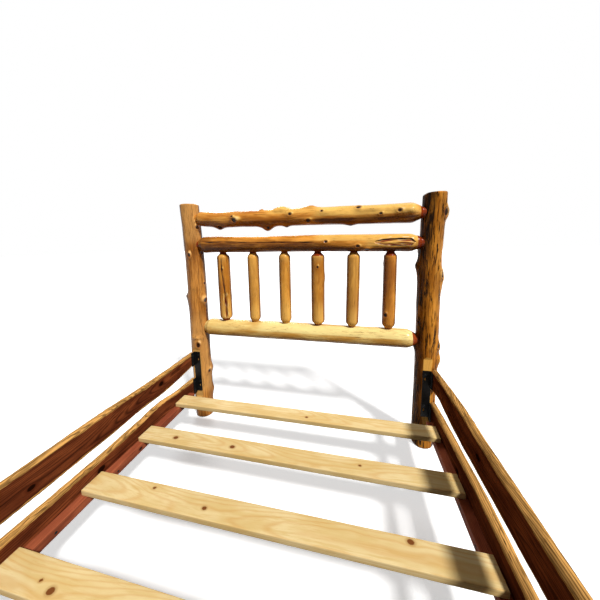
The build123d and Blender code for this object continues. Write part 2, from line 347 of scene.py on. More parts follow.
LOG = wood("varnished_log", "#df9d45", "#b46c20", "#63340d", dashes=0.7, pale="#f0c266")
MIDDLE_RAIL = wood("middle_rail_log", "#e29a40", "#ad6b1f", "#5a2a08", dashes=0.8, pale="#e8b55c")
LEFT_POST = wood("left_post_log", "#c4843b", "#92571b", "#4f2b0c", "#86340f", dashes=0.8, bark=0.35,
                 pale="#f0b86c")
RIGHT_POST = wood("right_post_log", "#d28a2f", "#9c5d17", "#3f230a", "#7d2f10", dashes=1.0, bark=0.97,
                  bare="#f0b85a", pale="#efc070", coat=0.07, shine=0.02)
PALE_LOG = wood("pale_log", "#e0bf74", "#bd8a3c", "#744410", "#93401a", dashes=1.0, pale="#efdf98")
SPINDLE = wood("spindle_log", "#dd9d40", "#ab6a1e", "#6b3a10", dashes=0.9, pale="#e8b860")
DEEP_SPINDLE = wood("deep_spindle_log", "#d68f38", "#a2601f", "#5a2e0c", dashes=0.8)
CEDAR = wood("cedar_plank", "#834526", "#592a17", "#260e07", "#55200f", ring_gap=0.0045, rings=0.6, dashes=0.9,
             gloss=0.45, coat=0.0, shine=0.0, sap="#cd9955")
LEDGER = wood("cedar_ledger", "#a4593a", "#84432c", "#552416", "#70301d", ring_gap=0.005, rings=0.35,
              gloss=0.5, coat=0.0)
PINE = wood("pine_slat", "#d4be8c", "#c8ac72", "#bd8c4a", "#b98648", ring_gap=0.007, rings=0.3, dashes=0.35,
            gloss=0.5, coat=0.0, relief=0.25, knot="#6b3a18")


# -------- meshes


def link_mesh(name, points, quads, fans, attributes, material, body, slot, *nodes):
    """New piece on a body, with per-point vector attributes and the nodes it stands for. The slot argument is
    not used.
    """
    mesh = bpy.data.meshes.new(name)
    quads, fans = np.asarray(quads, int).reshape(-1, 4), np.asarray(fans, int).reshape(-1, 3)
    mesh.vertices.add(len(points))
    mesh.vertices.foreach_set("co", np.asarray(points, np.float32).ravel())
    mesh.loops.add(quads.size + fans.size)
    mesh.loops.foreach_set("vertex_index", np.concatenate([quads.ravel(), fans.ravel()]))
    mesh.polygons.add(len(quads) + len(fans))
    mesh.polygons.foreach_set(
        "loop_start", np.concatenate([np.arange(len(quads)) * 4, quads.size + np.arange(len(fans)) * 3])
    )
    mesh.update(calc_edges=True)
    for key, values in attributes.items():
        store = mesh.attributes.new(key, "FLOAT_VECTOR", "POINT")
        store.data.foreach_set("vector", np.asarray(values, np.float32).ravel())
    mesh.polygons.foreach_set("use_smooth", [True] * len(mesh.polygons))
    mesh.materials.append(material)
    piece = add_object(name, mesh)
    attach(piece, body)
    if nodes:
        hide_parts(*nodes)


def tube_faces(rings, around, flip, first=0):
    """Quads of a tube of rings, and fans to the two middle points that follow them."""
    j = np.arange(around)
    k = (j + 1) % around
    i = np.arange(rings - 1)[:, None] * around
    quads = np.stack([i + j, i + k, i + around + k, i + around + j], -1).reshape(-1, 4)
    top, middle = (rings - 1) * around, np.full(around, rings * around)
    fans = np.concatenate([np.stack([middle, k, j], -1), np.stack([middle + 1, top + j, top + k], -1)])
    if flip:
        quads, fans = quads[:, ::-1], fans[:, ::-1]
    return quads + first, fans + first


def block_faces(counts):
    """Places (i, j, k) on the surface of a block of cells, and its quads."""
    places, index, quads = [], {}, []
    for axis in range(3):
        u, v = (axis + 1) % 3, (axis + 2) % 3
        for side in (0, counts[axis]):
            for a, b in itertools.product(range(counts[u]), range(counts[v])):
                quad = []
                for da, db in ((0, 0), (1, 0), (1, 1), (0, 1)):
                    place = [0, 0, 0]
                    place[axis], place[u], place[v] = side, a + da, b + db
                    place = tuple(place)
                    if place not in index:
                        index[place] = len(places)
                        places.append(place)
                    quad.append(index[place])
                quads.append(quad if side else quad[::-1])
    return np.array(places), np.array(quads)


def eased_steps(low, high, count, edge):
    """Lattice lines from low to high: count cells between two rounded edges of three lines each."""
    near = edge * (1 - np.cos(np.radians((0, 25, 50, 90))))
    cells = np.linspace(low + edge, high - edge, count + 1)[1:-1]
    return np.concatenate([low + near, cells, (high - near)[::-1]])


def round_box(points, low, high, edge):
    """Points on a box, moved onto the same box with rounded edges."""
    inner = np.clip(points, np.asarray(low) + edge, np.asarray(high) - edge)
    away = points - inner
    far = np.linalg.norm(away, axis=1, keepdims=True)
    return inner + away / np.maximum(far, 1e-9) * np.minimum(far, edge)


# -------- logs


class Log:
    """A peeled log as a tube of rings. Places on it are a distance along it and an angle in degrees, which is 0
    towards its front vector and grows towards its side vector."""

    drift = [(0, 0, 0), (9, 0, 0)]  # (distance, way to the front, way to the side) of its axis
    lumps = flutes = 1.0
    top_slope = top_round = 0
    back = 0  # how far its back may stand from its axis, where that is limited
    heart_at = (0.6, 0.6)  # share of the radius below which a cut end shows the red heart
    shift = 0.0  # distance along the log of the place that marks are measured from
    fine = 0.0027  # between rings
    around = 150  # points of a ring
    edge = 0.009  # rounding of the ends
    turned = 0.0  # length of the smooth ends, towards which the hewn surface fades

    def __init__(self, name, node, slot, length, start, axis, side, seed, front=(0, -1, 0)):
        self.name, self.node, self.slot, self.length, self.seed = name, node, slot, length, seed
        self.start, self.axis, self.side, self.front = (np.array(v, float) for v in (start, axis, side, front))
        self.axis /= np.linalg.norm(self.axis)
        self.knots, self.splits, self.scars, self.flats, self.stains_and_painted_light = [], [], [], [], []

    def knot(self, along, angle, long, wide, height, pit=0, at=(0, 0)):
        """A swelling, with a dark pit of a radius at an offset along and across it. Its sizes are in mm."""
        long, wide, height, pit, *at = (size / 1000 for size in (long, wide, height, pit, *at))
        self.knots.append((along + self.shift, math.radians(angle), long, wide, height, pit, at))

    def split(self, width, depth, *points):
        """A crack through points (distance along, angle)."""
        self.splits.append((np.array([(a + self.shift, math.radians(b)) for a, b in points]), width, depth))

    def scar(self, first, last, angle, half_width, depth, point=0.09):
        """A hollow almond that opens from its point at first, and shows the heartwood."""
        first, last = first + self.shift, last + self.shift
        self.scars.append((first, last, math.radians(angle), half_width, depth, point))

    def stain_and_painted_light(self, first, last, low, high, share):
        """Darker wood between two distances and two angles, or paler where share is less than 0. It paints real
        stains, and also painted shade on sides turned from the light and painted highlights on lit sides.
        """
        first, last = first + self.shift, last + self.shift
        self.stains_and_painted_light.append((first, last, math.radians(low), math.radians(high), share))

    def scatter(self, count, low, high, first, last, big=0.012):
        """Seeded knots between two distances and two angles."""
        maker = np.random.default_rng(self.seed + 500)
        for _ in range(count):
            size = maker.uniform(0.008, big)
            lift = maker.uniform(0.3, 0.9)
            along, angle = maker.uniform(low, high), math.radians(maker.uniform(first, last))
            at = (-size * maker.uniform(0, 0.8), size * maker.uniform(-0.5, 0.5))
            self.knots.append((along, angle, size * 2.2, size * 1.5, size * lift, size * 0.55, at))

    def build(self, outline, material):
        """The piece, from the log's outline: rows of a distance along it and a radius."""
        length, edge, turned = self.length, self.edge, self.turned
        inward = np.linspace(0, 1, 14)[1:-1]
        arc = np.radians(np.linspace(0, 90, 6))
        rings = [(0, edge, edge, t) for t in inward]  # distance, distance where marks are read, inset, scale
        rings += [(edge - edge * math.sin(a), edge, edge * (1 - math.cos(a)), 1) for a in arc[::-1]]
        count = int((length - 2 * edge) / self.fine)
        rings += [(d, d, 0, 1) for d in np.linspace(edge, length - edge, count)[1:-1]]
        rings += [(length - edge + edge * math.sin(a), length - edge, edge * (1 - math.cos(a)), 1) for a in arc]
        rings += [(length, length - edge, edge, t) for t in inward[::-1]]
        rings = np.array(rings)
        place, read, inset, scale = (rings[:, i : i + 1] for i in range(4))
        cap = np.where(scale < 1, 1.0, 0.0)
        angle = np.linspace(0, 2 * math.pi, self.around, endpoint=False)[None, :]
        widest = max(r for _, r in outline)
        outline = smooth_curve(read, outline, 0.003)
        life = np.ones(read.shape)
        if turned:
            life = ease(read, turned, turned * 1.4) * (1 - ease(read, length - turned * 1.4, length - turned))
        field = Field(self.seed)
        cos, sin = np.cos(angle), np.sin(angle)

        def grainy(long, wide, offset):
            return field.at(read / long + offset, cos * widest / wide + offset, sin * widest / wide)

        def across(turn):
            return ((angle - turn + math.pi) % (2 * math.pi) - math.pi) * widest

        lumps = 0.0017 * grainy(0.3, 0.08, 3.1) + 0.0012 * grainy(0.09, 0.04, 17.3)
        flutes = 0.0007 * grainy(0.2, 0.012, 31.7) + 0.0004 * grainy(0.05, 0.007, 45.1)
        radius = outline + life * (self.lumps * lumps + self.flutes * flutes) + 0.0002 * grainy(0.02, 0.02, 9.0)
        # Painted shade: darker in the hollows of the flutes.
        stain_shade_and_glint = np.zeros(radius.shape) + ease(-self.flutes * flutes, 0.0003, 0.0011) * life * 0.5

        knot_way = np.full(radius.shape, 3.0)
        sway = np.zeros(radius.shape)
        for along, turn, long, wide, height, pit, at in self.knots:
            v = across(turn)
            u = read - along
            ripple = 1 + 0.16 * grainy(0.03, 0.03, along * 50)
            d = np.sqrt((u / long) ** 2 + (v / wide) ** 2) * ripple
            radius = radius + height * np.exp(-(d**2) * 0.9) * np.where(d < 3, life, 0)
            # Painted highlight: paler crest on each swelling.
            stain_shade_and_glint = np.maximum(stain_shade_and_glint - min(height / 0.01, 1.25) * bell(d / 0.8) * life, -1.25)
            sway += -v / (d * d + 1) * np.exp(-d * d / 16) * 0.8
            if pit:
                d = np.sqrt(((u - at[0]) / (pit * 1.25)) ** 2 + ((v - at[1]) / pit) ** 2) * ripple
                radius = radius - pit * 0.5 * np.exp(-(d**4)) + pit * 0.12 * bell((d - 1.5) / 0.4)
                knot_way = np.minimum(knot_way, d)
                # Painted highlight: a pale to cream glint up and along from each pit.
                glint = np.hypot((u - at[0] - 1.7 * pit) / (1.5 * pit), (v - at[1] - 0.9 * pit) / (0.8 * pit))
                stain_shade_and_glint = stain_shade_and_glint - (0.7 + pit / 0.015) * bell(glint) * life

        split = np.zeros(radius.shape)
        for points, width, depth in self.splits:
            turn = np.interp(read, *points.T) + 0.05 * field.at(read * 14, 5.5, self.seed * 1.37)
            first, last = points[[0, -1], 0]
            taper = ease(read, first - 0.01, first + 0.03) * ease(read, last + 0.01, last - 0.03)
            taper = taper * (0.85 + 0.5 * field.at(read * 20, 2.2, 8.1))
            near = np.clip(1 - np.abs(across(turn)) / width, 0, 1) * taper
            split = np.maximum(split, near)
            radius = radius - depth * near**1.3

        red = np.zeros(radius.shape)
        for first, last, turn, half_width, depth, point in self.scars:
            grown = np.sqrt(np.clip((read - first) / point, 0, 1)) * np.where(read < last, 1, 0)
            half = half_width * grown * (1 + 0.12 * field.at(read * 25, 1.1, 4.4))
            half = half * ease(read, last, last - 0.03) + 1e-6
            v = across(turn)
            inside = np.where(grown > 0, 1 - np.abs(v) / half, -9)
            ridge = 0.3 * bell((v + 0.1 * half_width) / (0.35 * half_width))
            radius = radius - depth * ease(inside, 0, 0.3) * (1 - ridge) * (1 + 0.3 * grainy(0.05, 0.006, 60.2))
            red = np.maximum(red, ease(inside, -0.05, 0.1) * (0.42 + 0.45 * grainy(0.08, 0.008, 80.0)))
            # The scar's rim is paler, and cream in places: partly pale wood, partly painted glints.
            pale_rim_and_glint = bell((np.abs(inside) - 0.42) / 0.2) * (0.9 + 1.6 * grainy(0.03, 0.02, 52.0))
            stain_shade_and_glint = stain_shade_and_glint * (1 - np.clip(pale_rim_and_glint, 0, 1)) - 1.2 * np.clip(pale_rim_and_glint, 0, 1.4)
            lip = bell((inside - 0.12) / 0.17) * np.where(v > 0, 1.1, 0.95)
            split = np.maximum(split, lip * (0.8 + 0.4 * grainy(0.03, 0.03, 71.0)))

        # Stains and painted shade darken the tone; paler wood and painted highlights lighten it.
        for first, last, low, high, share in self.stains_and_painted_light:
            turn = (angle - low + math.pi) % (2 * math.pi) - math.pi
            span = high - low
            here = ease(turn, -0.12, 0.12) * ease(turn, span + 0.25, span - 0.25)
            here = here * ease(read, first - 0.05, first + 0.05) * ease(read, last + 0.1, last - 0.1)
            limit = np.maximum if share > 0 else np.minimum
            stain_shade_and_glint = stain_shade_and_glint * (1 - here) + limit(stain_shade_and_glint, share) * here

        depth = (radius - inset) * scale
        front_way = depth * cos
        if self.back:  # slimmer behind, and what would stand out past the back is pressed into a soft limit
            rear, soft = -0.92 * front_way, 0.004
            swell = self.back - soft
            past = np.where(rear > swell, soft * (1 - np.exp(-np.maximum(rear - swell, 0) / soft)), 0)
            front_way = np.where(rear > 0, -np.minimum(rear, swell), front_way) - past
        side_way = depth * sin
        planed = np.zeros(radius.shape)
        for low, high, distance in self.flats:
            limit = distance + np.maximum(0, read - high) * 0.35 + np.maximum(0, low - read) * 0.6
            planed = np.maximum(planed, ease(front_way - limit, 0, 0.0005))
            front_way = np.minimum(front_way, limit)
        spread = np.array(self.drift, float)

        def drifted(at, column):
            return smooth_curve(at, spread[:, (0, column)], 0.06)

        place = place + self.top_slope * side_way * ease(read, length - 0.08, length)
        corner = ease(-side_way, widest * 0.65, widest) * ease(read, length - 0.05, length)
        place = place - self.top_round * corner
        points = self.start + place[..., None] * self.axis
        points = points + (front_way + drifted(read, 1))[..., None] * self.front
        points = (points + (side_way + drifted(read, 2))[..., None] * self.side).reshape(-1, 3)
        ends = np.array([0, length])
        forth, aside = drifted(ends, 1), drifted(ends, 2)
        middles = [self.start + s * self.axis + forth[i] * self.front + aside[i] * self.side
                   for i, s in enumerate(ends)]

        true = angle + sway / widest
        depth = np.maximum(depth, 0.0005)
        start = self.seed * 3.7
        grain = np.stack(np.broadcast_arrays(place + start, depth * np.cos(true), depth * np.sin(true)), -1)
        heart_at = self.heart_at[0] + (self.heart_at[1] - self.heart_at[0]) * ease(read, 0, length)
        red = np.maximum(red, ease(outline / widest, heart_at + 0.04, heart_at - 0.03))
        red = np.where(cap > 0, 0.6 * ease(scale, 0.8, 0.55), red)
        marks = np.stack([knot_way, split * (1 - cap), red], -1)
        cuts = np.stack([planed * (1 - cap), np.broadcast_to(cap, radius.shape), stain_shade_and_glint], -1)
        pith = [(start, 0, 0), (start + length, 0, 0)]
        attributes = {name: np.vstack([values.reshape(-1, 3), last]) for name, values, last in (
            ("grain", grain, pith), ("marks", marks, [(3, 0, 0.6)] * 2), ("cuts", cuts, [(0, 1, 0)] * 2))}
        flip = float(np.dot(np.cross(self.front, self.side), self.axis)) < 0
        faces = tube_faces(len(rings), self.around, flip)
        points = np.vstack([points, middles])
        link_mesh(self.name, points, *faces, attributes, material, ROOT, self.slot, self.node)


def each(mark, *rows):
    """A mark on a log, such as log.knot, for each row."""
    for row in rows:
        mark(*row)


def new_post(name, node, x, seed, flat_top, foot=False, trim=0.0):
    """Log for a post, with the flat that its bracket is screwed to. It ends by trim below the CAD's top."""
    y, front = (-POST_Y, (0, 1, 0)) if foot else (POST_Y, (0, -1, 0))
    post = Log(name, node, "post_log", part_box(node)[1].z - trim, (x, y, 0), UP, OUT, seed, front)
    post.flats.append((FLAT_BOTTOM, flat_top, FLAT))
    post.back = POST_BACK
    return post


def head_posts():
    left = new_post("left_head_post_log", "head_left_post", -POST_X, 1, 0.522, trim=0.001)
    left.drift = [(0, 0, 0.002), (0.5, 0, 0.003), (0.8, 0, 0.006), (1.0, 0, 0.008), (1.2, 0, 0.005),
                  (1.4, 0, -0.002), (1.541, 0, -0.01)]
    left.top_slope = 0.01
    each(
        left.knot,
        (1.395, 60, 36, 20, 10, 10, (-10, 3)), (1.43, 50, 30, 10, 5), (1.205, 4, 24, 18, 6, 9.5, (-6, -4)),
        (1.215, 80, 20, 16, 6, 9), (1, 80, 20, 13, 4, 7), (0.908, -73, 18, 26, 12), (0.875, -75, 45, 30, 9),
        (0.892, 68, 34, 24, 13, 12, (-12, 8)), (0.804, 84, 16, 10, 3, 6), (0.615, 9, 14, 36, 7),
        (0.559, 16, 24, 16, 2, 14), (0.356, 74, 24, 18, 7, 10, (-6, 2)), (0.362, 118, 34, 25, 10),
        (0.19, 118, 34, 25, 10),
    )
    left.split(0.0025, 0.0008, (1.05, 25), (1.36, 34))
    left.split(0.0025, 0.0008, (0.66, 45), (0.86, 52))
    left.scatter(7, 0.1, 1.3, 140, 250)
    left.lumps, left.flutes = 0.9, 0.7
    # Paler front high and low; darker left and right flanks: painted shade where the sides turn from the light.
    each(left.stain_and_painted_light, (1.28, 1.7, -50, 115, -0.5), (0.2, 0.8, -50, 115, -0.45), (0.1, 1.6, -85, -36, 0.6),
         (0.1, 1.6, 98, 160, 0.6), (0.45, 1.28, 80, 160, 0.75))
    outline = [(0, 0.0625), (0.35, 0.066), (0.6, 0.0655), (0.85, 0.0635), (1.1, 0.0635), (1.38, 0.062),
               (1.541, 0.0615)]
    left.build(outline, LEFT_POST)

    right = new_post("right_head_post_log", "head_right_post", POST_X, 2, 0.579, trim=0.004)
    right.drift = [(0, 0, 0), (0.6, 0, -0.001), (0.9, 0, -0.004), (1.2, 0, -0.006), (1.34, 0, -0.002),
                   (1.533, 0, 0.006)]
    right.top_slope, right.top_round = 0.03, 0.006
    each(
        right.knot,
        (1.425, 72, 34, 24, 14, 18, (-2, -18)), (1.45, 44, 50, 10, 7), (1.118, -98, 52, 40, 12),
        (1.126, -98, 20, 20, 5), (1.07, 80, 40, 28, 13, 15, (6, -14)), (1.01, 84, 50, 30, 7),
        (1.09, 44, 40, 12, 6), (0.796, -59, 20, 14, 4, 8), (0.657, 58, 28, 18, 6, 13, (0, 2)),
        (0.644, -92, 36, 30, 14), (0.64, 92, 30, 28, 12), (0.568, 84, 34, 28, 17),
    )
    each(
        right.split,
        (0.006, 0.003, (0.655, 0), (0.75, -3)), (0.006, 0.003, (0.6, -20), (0.68, -19)),
        (0.008, 0.005, (0.26, 40), (0.375, 45)), (0.005, 0.0025, (1.1, 8), (1.2, 6)),
        (0.004, 0.002, (1.27, 30), (1.38, 33)), (0.004, 0.002, (1.38, 2), (1.5, 6)),
        (0.004, 0.002, (1.4, 52), (1.52, 50)),
    )
    # Darker left side: partly darker bark-stained wood, partly painted shade. Paler right front: painted
    # highlight on the lit side.
    each(right.stain_and_painted_light, (1.18, 1.6, -110, -14, 0.9), (0.1, 1.18, -110, -38, 0.55), (0.8, 1.7, 10, 75, -0.2))
    right.scatter(8, 0.1, 1.45, 140, 250)
    right.lumps, right.flutes = 1.3, 1.9
    outline = [(0, 0.063), (0.6, 0.063), (0.9, 0.0635), (1.1, 0.0615), (1.533, 0.062)]
    right.build(outline, RIGHT_POST)


def foot_posts():
    for node, x, seed, finish in (("foot_left_post", -POST_X, 3, LEFT_POST),
                                  ("foot_right_post", POST_X, 4, RIGHT_POST)):
        post = new_post(node + "_log", node, x, seed, 0.53, foot=True)
        if x > 0:
            post.knot(0.255, 90, 20, 26, 12)
            post.knot(0.23, 90, 42, 30, 11)
            post.flutes = 1.7
            post.stain_and_painted_light(0.1, 0.7, 100, 160, 0.5)
        post.knot(0.6, 10, 30, 20, 7, 9, (-6, 4))
        post.scatter(9, 0.08, post.length - 0.06, 110, 250)
        post.build([(0, 0.063), (post.length, 0.0615)], finish)


def rail_outline(length, girths, blunt):
    """Outline of a rail from its radii at five stations: tenons, and shoulders that are cones, or at the left
    end rounded if it is blunt."""
    tip = LENGTH_IN_POST
    flank = tip + SHOULDER
    cone = [(flank + 0.008, 0), (flank - 0.008, -0.0022), (flank - 0.028, -0.011)]
    left = [(tip, TENON), (tip + 0.008, 0.038), *[(d, girths[0] + r) for d, r in cone[::-1]]]
    if blunt:
        left = [(tip - 0.002, TENON), (tip + 0.001, 0.0365), (tip + 0.008, 0.0425), (tip + 0.02, 0.0475),
                (tip + 0.036, girths[0])]
    inner = [(flank + (length - 2 * flank) * t, r) for t, r in zip((0.25, 0.5, 0.75), girths[1:4])]
    right = [(length - d, girths[4] + r) for d, r in cone]
    right += [(length - tip - 0.008, 0.038), (length - tip, TENON)]
    return [(0, TENON), *left, *inner, *right, (length, TENON)]


def rail(node, seed, girths, blunt=True, drop=0.0, front=(0, -1, 0)):
    """Log for a rail, and its outline. Marks on it are measured from its middle, and its right end is lower by
    drop."""
    low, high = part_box(node)
    length = high.x - low.x
    start = (low.x, front[1] * -POST_Y, (low.z + high.z) / 2 + drop / 2)
    log = Log(node + "_log", node, "rail_log", length, start, (length, 0, -drop), UP, seed, front)
    log.shift, log.around, log.turned = length / 2, 130, TURNED
    return log, rail_outline(length, girths, blunt)


def head_rails():
    girths = (0.0495, 0.0515, 0.0525, 0.054, 0.0565)
    top, outline = rail("head_top_rail", 5, girths, drop=0.01)
    top.drift = [(0, FORWARD, 0.002), (0.12, FORWARD, 0.001), (0.24, 0.012, -0.011), (0.4, 0.014, -0.006),
                 (0.66, FORWARD, -0.006), (0.8, FORWARD, -0.003), (1.1, 0.007, -0.004),
                 (top.length, FORWARD, -0.001)]
    each(
        top.knot,
        (-0.405, -4, 28, 20, 13, 13, (-14, -6)), (-0.433, 16, 16, 12, 4, 6.5),
        (-0.548, -88, 28, 26, 15, 12, (14, 24)), (-0.5, -50, 40, 18, 6), (-0.245, 82, 12, 14, 8, 6, (-8, 0)),
        (-0.115, 70, 40, 28, 17, 10, (-35, 10)), (-0.06, 22, 30, 20, 8, 8, (8, -8)), (-0.075, 44, 60, 12, 6),
        (0.068, 82, 34, 24, 12, 9, (0, 8)), (0.054, -28, 30, 16, 7, 11, (4, -4)),
        (0.165, 22, 40, 18, 7, 7, (-24, 4)), (-0.212, -90, 34, 30, 29, 8, (12, 22)),
        (-0.086, -90, 18, 20, 9, 5, (6, 12)), (0.31, -90, 28, 24, 8, 6, (0, 10)),
        (0.357, 44, 24, 20, 7, 12, (-4, 0)), (0.43, 26, 70, 13, 8), (0.475, 0, 20, 14, 6, 7, (0, -2)),
        (0.575, 13, 28, 20, 8, 9.5, (0, -2)), (0.635, 14, 40, 20, 12.5), (0.64, 38, 35, 10, 4),
    )
    top.split(0.0025, 0.0008, (-0.3, 22), (-0.19, 24))
    top.scatter(9, 0.2, 1.3, 130, 240)
    # Darker underside and darker top edge: painted shade. Paler upper front towards the right: painted
    # highlight on the lit side.
    each(top.stain_and_painted_light, (-0.7, 0.5, -100, -25, 0.42), (0.1, 0.8, -110, -18, 0.85), (-0.8, 0.8, 66, 115, 0.4),
         (0.1, 0.7, -6, 80, -0.8), (-0.2, 0.1, 20, 80, -0.6))
    top.lumps = 1.4
    top.heart_at = (0.54, 0.7)
    top.build(outline, LOG)

    middle, outline = rail("head_middle_rail", 6, (0.0555, 0.052, 0.051, 0.0515, 0.052))
    middle.drift = [(s, FORWARD, aside) for s, aside in (
        (0, -0.001), (0.25, 0.002), (0.5, -0.002), (1.0, -0.001), (1.3, -0.006), (middle.length, -0.006))]
    middle.split(0.007, 0.005, (-0.66, 18), (-0.33, 14), (0.1, 6))
    middle.scar(0.445, 0.672, 6, 0.025, 0.0075)
    # Darker lower front on the left and darker left end: stains. Darker underside on the right and darker top
    # edge: painted shade. Paler upper front on the right: painted highlight. Paler round the scar: partly pale
    # wood, partly painted highlight.
    each(middle.stain_and_painted_light, (-0.72, 0.12, -75, 12, 0.75), (-0.8, -0.6, -90, 90, 0.5), (0.1, 0.8, -110, -26, 0.85),
         (-0.8, 0.1, 66, 115, 0.4), (0.1, 0.8, 15, 80, -1.0), (0.4, 0.67, -28, 34, -1.0))
    each(middle.knot, (0.166, 10, 26, 14, 4, 8), (0.16, 0, 60, 20, 3), (0.351, -24, 20, 14, 5, 8, (0, 4)),
         (0.405, -41, 24, 14, 5, 9, (0, -6)))
    middle.scatter(7, 0.2, 1.3, 120, 240)
    middle.heart_at = (0.62, 0.72)
    middle.build(outline, MIDDLE_RAIL)

    bottom, outline = rail("head_bottom_rail", 7, (0.0565, 0.0595, 0.058, 0.0575, 0.0575))
    bottom.drift = [(0, 0.001, 0.003), (0.5, 0.004, 0.005), (0.8, 0.003, 0.003), (bottom.length, 0.001, 0)]
    # Paler top: painted highlight on the lit side. Darker underside: painted shade.
    each(bottom.stain_and_painted_light, (-0.3, 0.8, 8, 80, -0.75), (-0.8, -0.3, 8, 80, -0.4), (-0.8, 0.8, -110, -36, 0.5))
    bottom.scatter(9, 0.2, 1.3, 100, 240, big=0.009)
    bottom.lumps = 0.7
    bottom.heart_at = (0.54, 0.78)
    bottom.build(outline, PALE_LOG)


def foot_rails():
    for node, radius, seed in (("foot_top_rail", 0.054, 8), ("foot_bottom_rail", 0.052, 9)):
        girths = [radius - cut for cut in (0.002, 0.0, 0.001, 0.0, 0.003)]
        log, outline = rail(node, seed, girths, blunt=False, front=(0, 1, 0))
        log.scatter(14, 0.2, 1.3, 0, 360, big=0.015)
        log.lumps = 1.3
        log.build(outline, LOG)


def spindles():
    low, high = (corner.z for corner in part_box("head_spindles"))
    length = high - low
    first = POST_X - 0.2235  # how far the first and last spindles stand from the middle
    for i, radius in enumerate((0.0435, 0.0385, 0.0385, 0.0435, 0.0405, 0.0395)):
        x = -first + i * 0.4 * first
        pole = Log(f"head_spindle_{i + 1}", "head_spindles", "spindle_log", length, (x, POST_Y, low), UP, OUT,
                   10 + i)
        pole.shift, pole.fine, pole.around, pole.edge, pole.turned = -low, 0.003, 96, 0.004, 0.05
        pole.lumps, pole.flutes = 0.5, 0.6
        lean = 0.005 if i == 4 else 0.001
        pole.drift = [(0, 0.002, -lean / 2), (0.08, 0.002, 0.001 - lean / 2), (length - 0.08, 0.004, lean),
                      (length, 0.004, lean)]
        # Painted highlight: paler top shoulder on the front.
        pole.stain_and_painted_light(high - 0.09, high - 0.05, -50, 50, -1.0)
        finish = SPINDLE
        if i == 0:
            pole.split(0.01, 0.007, (0.76, 34), (0.887, 30), (0.959, 22), (1.063, 9), (1.19, 3))
            pole.scar(0.745, 0.96, 31, 0.0095, 0.004, point=0.03)
            pole.knot(1.1, 5, 20, 12, 3, 7, (0, 4))
            pole.heart_at = (0.8, 0.6)
        if i == 3:
            pole.knot(1.119, 5, 16, 10, 3, 6)
            pole.knot(1.053, 70, 30, 16, 5)
        if i == 5:
            pole.knot(0.829, -37, 20, 15, 4, 10)
            finish = DEEP_SPINDLE
        if i in (3, 5):
            pole.heart_at = (0.6, 0.93)
        # Painted light: the lower front is paler, against the upper part that stands in the top rail's shade.
        pole.stain_and_painted_light(low - 0.1, low + 0.35 * length, -80, 80, -0.7)
        if i in (1, 4):
            pole.stain_and_painted_light(low, high, -60, 90, -0.4)
        toward = math.degrees(math.atan2(CAMERA[0] + first - i * 0.4 * first, POST_Y - CAMERA[1]))
        for turn in (48, -110):  # painted shade on the flanks, either side of the face turned to the camera
            pole.stain_and_painted_light(low, high, toward + turn, toward + turn + 62, 0.6)
        pole.scatter(4, 0.1, length - 0.1, 110, 250, big=0.009)
        body = radius * 0.985
        end = [(0, SPINDLE_TENON), (0.042, SPINDLE_TENON), (0.056, SPINDLE_CONE), (0.066, body - 0.003),
               (0.078, body)]
        outline = [*end, (length / 2, radius), *[(length - d, r) for d, r in end[::-1]]]
        pole.build(outline, finish)


# -------- planks, ledgers and slats


def live_edge(knots, shares):
    """Heights in metres, at shares of the length, of an edge of arcs through three knots at a time."""
    heights = np.zeros(shares.shape)
    for i in range(0, len(knots) - 2, 2):
        (a, za), (b, zb), (c, zc) = knots[i : i + 3]
        here = (shares >= a) if i else np.ones(shares.shape, bool)
        heights[here] = np.polyval(np.polyfit((a, b, c), (za, zb, zc), 2), shares[here]) / 1000
    return heights


def grain_of(along, thick, high, seed, knots):
    """Grain of a board sawn beside the pith of a log that bends a little. It runs round the knots."""
    for at, level, size in knots:
        near = np.exp(-(((along - at) / (5 * size)) ** 2) - ((high - level) / (2.2 * size)) ** 2)
        high = high - 0.85 * (high - level) * near
    bend = 0.02 * np.sin(along * 2.1 + seed) + 0.012 * np.sin(along * 5.3 + seed * 2)
    return np.stack([along + seed * 3.7, thick + 0.045 + 0.6 * bend, high + bend], -1)


def board_attributes(grain, along, high, knots, sawn, sap):
    """Attributes of a board, with distances to long knots at (along, high, radius)."""
    way = np.full(len(along), 3.0)
    for at, level, size in knots:
        way = np.minimum(way, np.hypot((along - at) / (size * 1.4), (high - level) / size))
    none = np.zeros(len(along))
    return {"grain": grain, "marks": np.stack([way, none, none], -1), "cuts": np.stack([none, sawn, sap], -1)}


def rounded(count):
    """Places from 0 to 1, closer together at both ends."""
    return 0.5 - 0.5 * np.cos(np.linspace(0, math.pi, count + 1))


